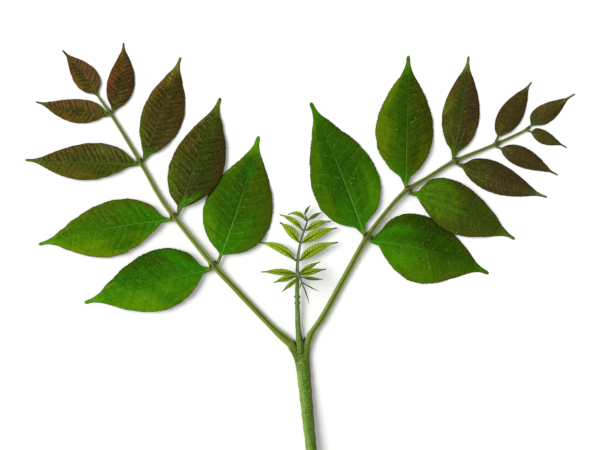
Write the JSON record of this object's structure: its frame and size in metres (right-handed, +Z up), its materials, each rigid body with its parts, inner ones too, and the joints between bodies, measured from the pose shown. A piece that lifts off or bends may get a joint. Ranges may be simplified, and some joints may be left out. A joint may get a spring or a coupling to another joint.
{
  "type": "leafy ash shoot",
  "caption": "Cut green ash shoot lying flat: stem with an opposite pair of pinnate leaves, green to bronze leaflets, and a young growing tip between them.",
  "frame": {"origin": "middle of the bounding box, on the surface that the shoot lies on", "axes": "+X across the two leaves, towards the right leaf; +Y from the cut end of the stem towards the growing tip; +Z up from the surface, towards the leaflets' upper faces"},
  "size_m": [0.275, 0.2136, 0.0189],
  "materials": {
    "stem_green": "matte",
    "stalk_green": "matte",
    "green_leaflet": "satin",
    "bronze_leaflet": "satin",
    "young_stalk": "matte",
    "young_leaflet": "satin",
    "dark_bud": "matte"
  },
  "bodies": {
    "root": {"stem": "stem_green", "left_leaf_stalk": "stalk_green", "left_leaflet_1_outer": "green_leaflet", "left_leaflet_1_inner": "green_leaflet", "left_leaflet_2_outer": "green_leaflet", "left_leaflet_2_inner": "bronze_leaflet", "left_leaflet_3_outer": "bronze_leaflet", "left_leaflet_3_inner": "bronze_leaflet", "left_leaflet_4_outer": "bronze_leaflet", "left_leaflet_4_inner": "bronze_leaflet", "left_leaflet_terminal": "bronze_leaflet", "right_leaf_stalk": "stalk_green", "right_leaflet_1_inner": "green_leaflet", "right_leaflet_1_outer": "green_leaflet", "right_leaflet_2_inner": "green_leaflet", "right_leaflet_2_outer": "bronze_leaflet", "right_leaflet_3_inner": "bronze_leaflet", "right_leaflet_3_outer": "bronze_leaflet", "right_leaflet_4_inner": "bronze_leaflet", "right_leaflet_4_outer": "bronze_leaflet", "right_leaflet_5_outer": "bronze_leaflet", "right_leaflet_terminal": "bronze_leaflet", "back_young_leaf_stalk": "young_stalk", "back_young_leaflet_1_left": "young_leaflet", "back_young_leaflet_1_right": "young_leaflet", "back_young_leaflet_2_left": "young_leaflet", "back_young_leaflet_2_right": "young_leaflet", "back_young_leaflet_3_left": "young_leaflet", "back_young_leaflet_3_right": "young_leaflet", "back_young_leaflet_4_left": "young_leaflet", "back_young_leaflet_4_right": "young_leaflet", "back_young_leaflet_terminal": "young_leaflet", "front_young_leaf_stalk": "young_stalk", "front_young_leaflet_1_left": "young_leaflet", "front_young_leaflet_1_right": "young_leaflet", "front_young_leaflet_2_left": "young_leaflet", "front_young_leaflet_2_right": "young_leaflet", "front_young_leaflet_3_left": "young_leaflet", "front_young_leaflet_3_right": "young_leaflet", "front_young_leaflet_4_left": "young_leaflet", "front_young_leaflet_4_right": "young_leaflet", "front_young_leaflet_terminal": "young_leaflet", "axillary_bud_left": "dark_bud", "axillary_bud_right": "dark_bud"}
  },
  "joints": []
}
